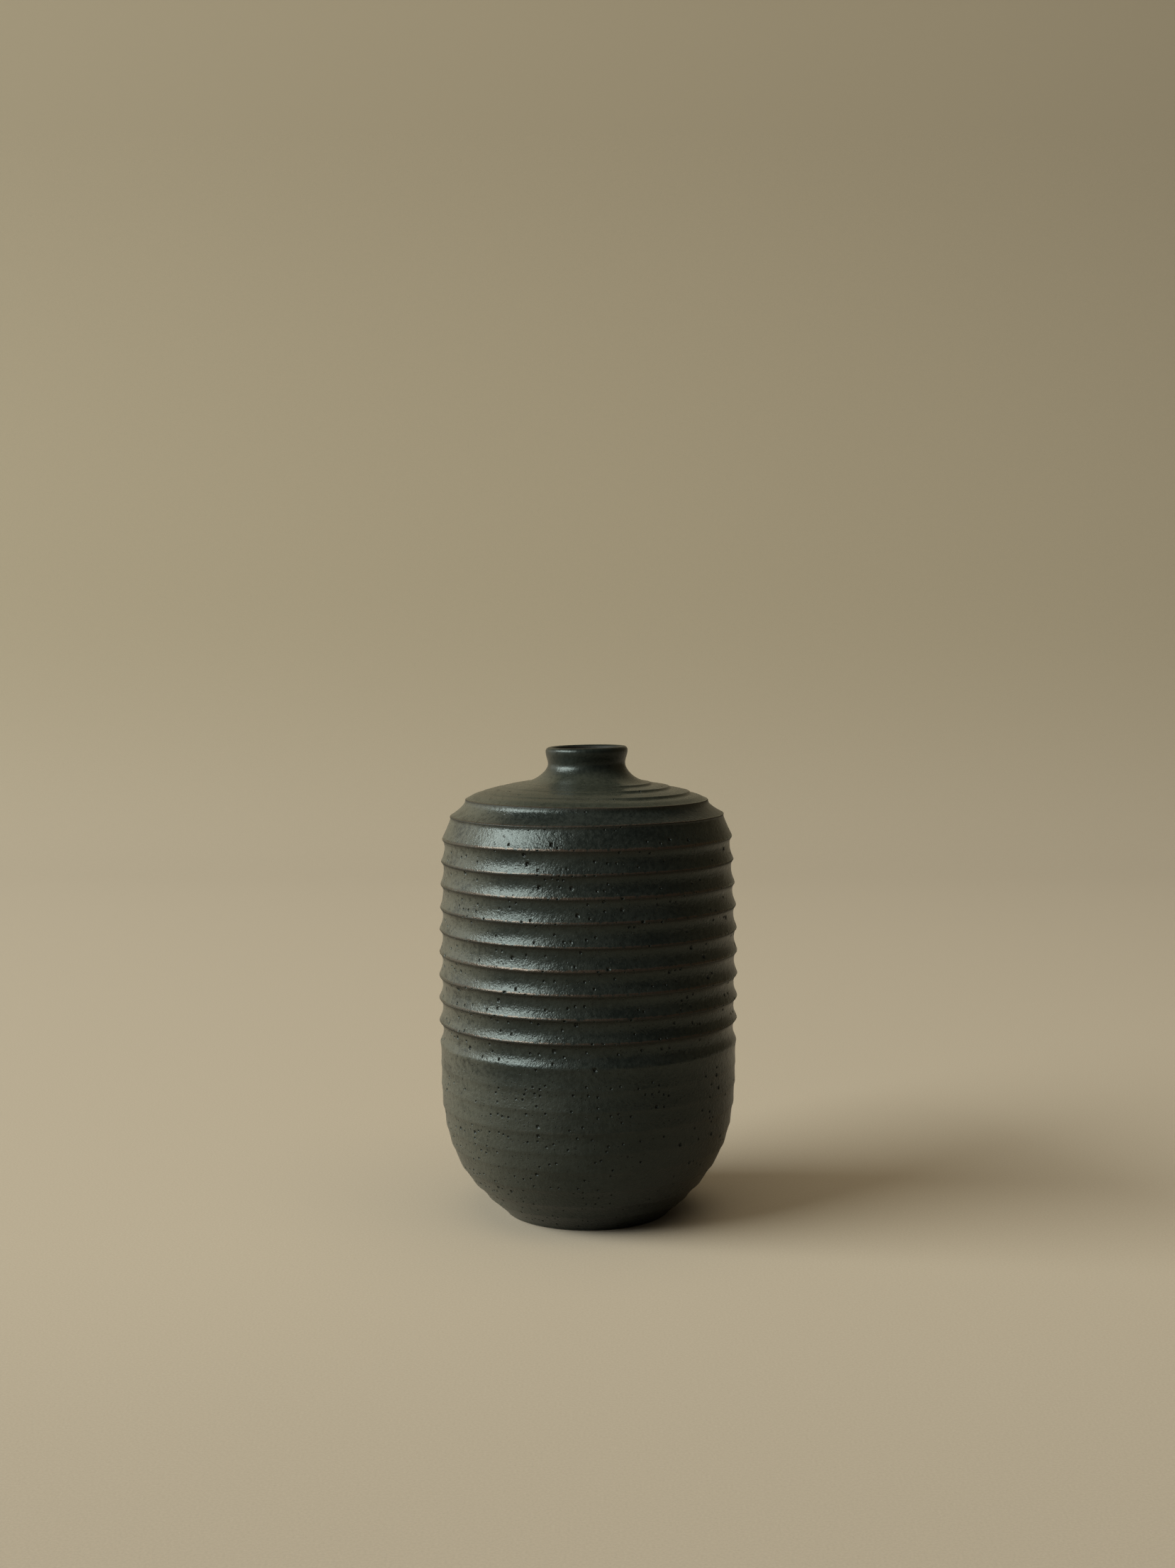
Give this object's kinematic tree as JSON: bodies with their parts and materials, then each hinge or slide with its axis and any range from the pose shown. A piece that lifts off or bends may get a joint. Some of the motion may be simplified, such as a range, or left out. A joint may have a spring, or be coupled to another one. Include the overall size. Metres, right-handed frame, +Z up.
{
  "type": "bud vase",
  "caption": "Closed stoneware bud vase with a narrow neck and rolled lip, overlapping throwing ribs round the body, a terraced shoulder and a smooth lower bowl on a flat foot.",
  "frame": {"origin": "centre of the foot, on the surface that the vase stands on", "axes": "+Z up the axis of the vase, X and Y free round it"},
  "size_m": [0.1148, 0.1148, 0.18],
  "materials": {
    "bowl_glaze": "satin to matte green-black stoneware glaze with small pits",
    "rib_glaze": "satin green-black stoneware glaze, iron brown along the rib edges",
    "shoulder_glaze": "satin to matte green-black stoneware glaze",
    "neck_glaze": "smooth satin green-black glaze",
    "slip_clay": "fired iron-bearing slip",
    "inside_glaze": "glossy dark liner glaze"
  },
  "bodies": {
    "root": {"lower_bowl": "bowl_glaze", "slip_seam_lower": "slip_clay", "ribbed_wall": "rib_glaze", "slip_seam_upper": "slip_clay", "shoulder": "shoulder_glaze", "slip_seam_neck": "slip_clay", "neck_collar": "neck_glaze", "liner_glaze": "inside_glaze"}
  },
  "joints": []
}
